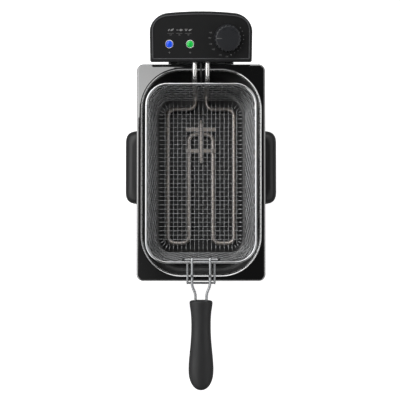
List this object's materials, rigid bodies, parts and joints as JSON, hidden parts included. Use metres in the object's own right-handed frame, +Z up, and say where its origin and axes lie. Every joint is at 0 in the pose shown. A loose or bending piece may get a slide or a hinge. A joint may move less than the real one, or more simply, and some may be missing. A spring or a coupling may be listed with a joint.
{
  "type": "deep fryer",
  "caption": "Countertop box deep fryer with a lift-out enamel oil tank, a lift-off control head with heater and dial, and a wire frying basket with a folding handle.",
  "frame": {"origin": "centre of the bounding box on the surface the feet stand on", "axes": "X across the fryer, +Y towards the control head at the back, +Z up"},
  "size_m": [0.2326, 0.5476, 0.2137],
  "materials": {
    "casing_steel": "brushed stainless sheet",
    "heater_steel": "bright drawn stainless tube",
    "black_enamel": "glossy black enamel",
    "dark_plastic": "dark grey satin phenolic",
    "panel_plastic": "flat matte panel with printed dial marks",
    "zinc_steel": "zinc plated steel",
    "bright_chrome": "bright plated wire",
    "rubber": "matte black rubber",
    "blue_lens": "blue indicator lens",
    "green_lens": "green indicator lens",
    "red_plastic": "red reset button",
    "cream_plastic": "cream terminal strip"
  },
  "bodies": {
    "base": {"base_pan": "dark_plastic", "outer_casing": "casing_steel", "foot_front_left": "rubber", "foot_front_right": "rubber", "foot_rear_left": "rubber", "foot_rear_right": "rubber", "foot_screw_front_left": "zinc_steel", "foot_screw_front_right": "zinc_steel", "foot_screw_rear_left": "zinc_steel", "foot_screw_rear_right": "zinc_steel", "left_handle": "dark_plastic", "left_handle_screw_1": "zinc_steel", "left_handle_screw_2": "zinc_steel", "right_handle": "dark_plastic", "right_handle_screw_1": "zinc_steel", "right_handle_screw_2": "zinc_steel", "rear_guide": "zinc_steel", "guide_screw_1": "zinc_steel", "guide_screw_2": "zinc_steel"},
    "tank": {"oil_tank": "black_enamel"},
    "head": {"head_housing": "dark_plastic", "head_base": "dark_plastic", "head_tongue": "zinc_steel", "head_screw_1": "zinc_steel", "head_screw_2": "zinc_steel", "head_screw_3": "zinc_steel", "head_screw_4": "zinc_steel", "tongue_screw_1": "zinc_steel", "tongue_screw_2": "zinc_steel", "control_panel": "panel_plastic", "thermostat_body": "zinc_steel", "power_lamp_bezel": "bright_chrome", "power_lamp_lens": "blue_lens", "ready_lamp_bezel": "bright_chrome", "ready_lamp_lens": "green_lens", "heating_element": "heater_steel", "element_bracket": "heater_steel", "sensor_capillary": "zinc_steel", "sensor_bulb": "zinc_steel", "sensor_clip_1": "heater_steel", "sensor_clip_2": "heater_steel", "safety_cutout": "zinc_steel", "cord_gland": "rubber", "interlock_switch": "panel_plastic", "terminal_block": "cream_plastic"},
    "knob": {"knob": "dark_plastic", "thermostat_shaft": "zinc_steel"},
    "reset_button": {"reset_button": "red_plastic"},
    "basket": {"basket_rim": "bright_chrome", "basket_mesh": "bright_chrome", "front_bracket": "bright_chrome", "pivot_bar": "bright_chrome"},
    "basket_handle": {"handle_wire": "bright_chrome", "handle_grip": "dark_plastic"}
  },
  "joints": [
    {"name": "tank_lift", "type": "slide", "parent": "base", "child": "tank", "axis": [0, 0, 1], "range_m": [0, 0.15]},
    {"name": "head_lift", "type": "slide", "parent": "tank", "child": "head", "axis": [0, 0, 1], "range_m": [0, 0.16]},
    {"name": "basket_lift", "type": "slide", "parent": "head", "child": "basket", "axis": [0, 0, 1], "range_m": [0, 0.15]},
    {"name": "handle_fold", "type": "hinge", "parent": "basket", "child": "basket_handle", "pos_m": [0, -0.08405, 0.162], "axis": [-1, 0, 0], "range_deg": [0, 165]},
    {"name": "knob_turn", "type": "hinge", "parent": "head", "child": "knob", "pos_m": [0.0384, 0.2372, 0.19323], "axis": [0, -0.2756, 0.9613], "range_deg": [-15, 105]},
    {"name": "reset_press", "type": "slide", "parent": "head", "child": "reset_button", "axis": [0, -1, 0], "range_m": [0, 0.0015], "stiffness_N_per_m": 400, "springref_m": -0.002}
  ]
}
